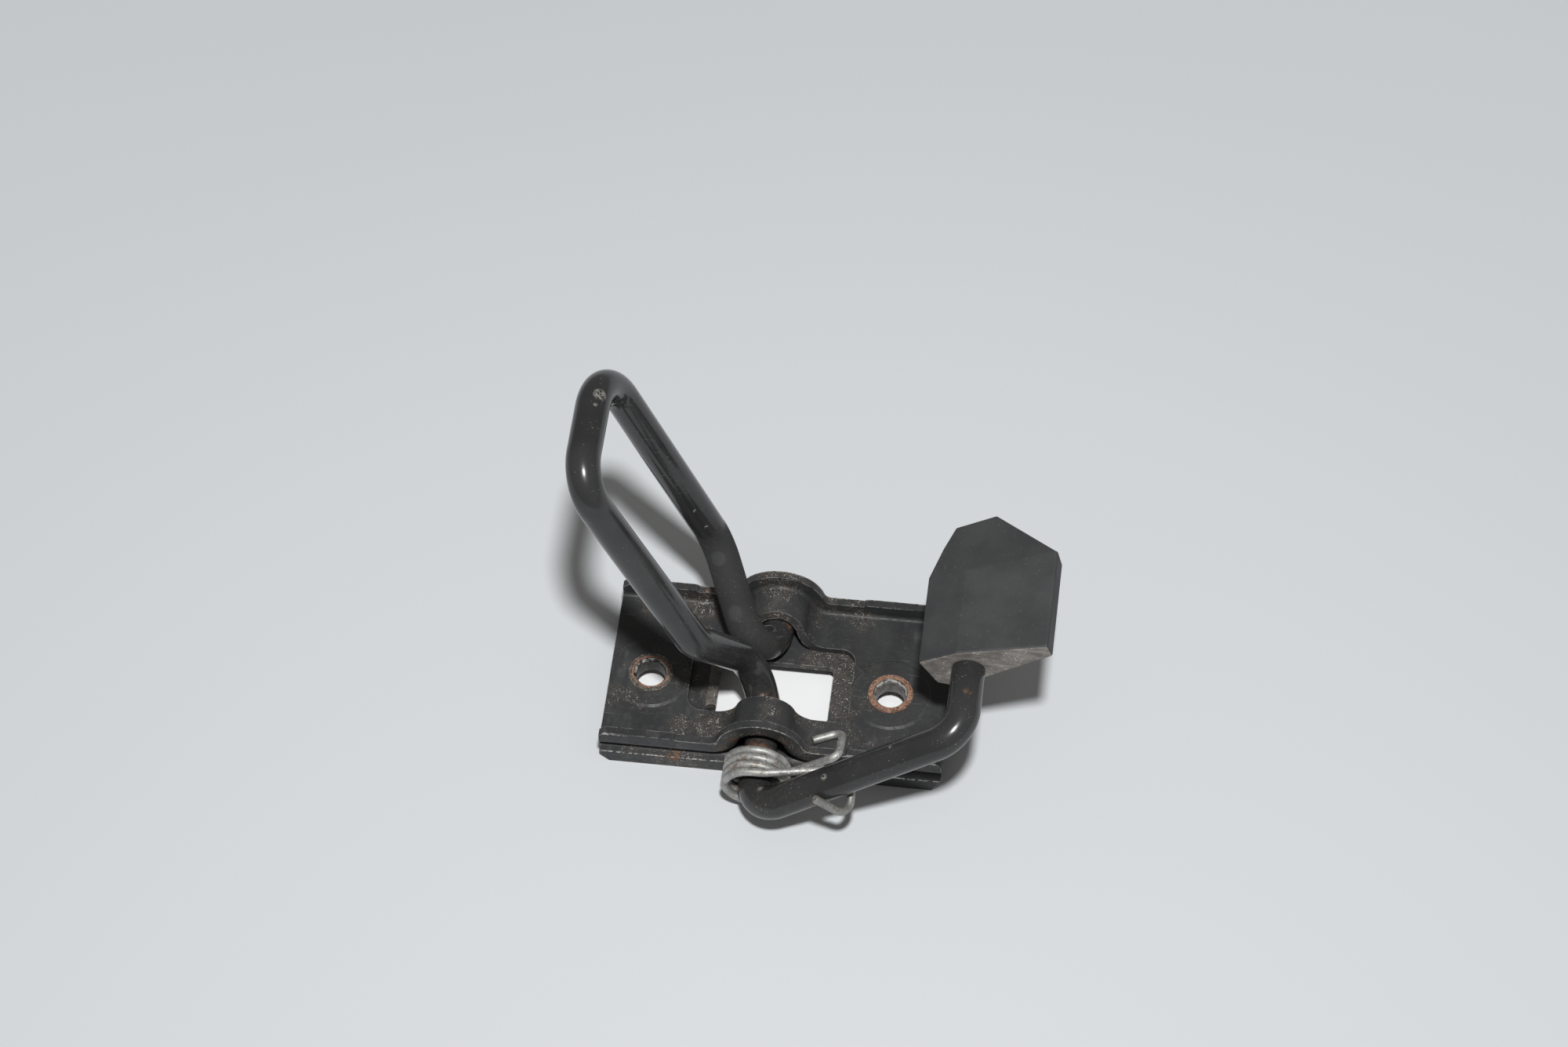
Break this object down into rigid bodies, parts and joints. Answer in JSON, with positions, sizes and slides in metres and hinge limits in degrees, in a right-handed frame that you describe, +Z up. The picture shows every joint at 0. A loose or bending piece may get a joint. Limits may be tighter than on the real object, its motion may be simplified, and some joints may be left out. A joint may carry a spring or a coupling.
{
  "type": "hood safety latch",
  "caption": "Hood safety latch with a pressed bolt-on base, a bent hook loop on a turning shaft, a coiled return spring and a moulded release handle.",
  "frame": {"origin": "midway between the two bolt holes, on the seam where the two plates meet", "axes": "+X along the plate from the hook loop's side to the handle, +Y along the shaft towards its free end, +Z up out of the plates towards the loop"},
  "size_m": [0.1126, 0.0713, 0.1019],
  "materials": {
    "upper_plate": "satin black, worn to bare steel on its edges",
    "lower_plate": "satin black, worn on its edges",
    "bush": "bare steel, rusted",
    "rod": "glossy black",
    "spring": "matt grey, dusty",
    "handle": "matt dark grey"
  },
  "bodies": {
    "base": {"upper_plate": "upper_plate", "lower_plate": "lower_plate", "left_bush": "bush", "right_bush": "bush", "return_spring": "spring"},
    "hook": {"hook_rod": "rod", "handle": "handle"}
  },
  "joints": [
    {"name": "hook_turn", "type": "hinge", "parent": "base", "child": "hook", "pos_m": [0, 0, 0.0041], "axis": [0, 1, 0], "range_deg": [0, 22], "stiffness_Nm_per_rad": 0.9, "springref_deg": -11.46, "deforming": ["return_spring"]}
  ]
}
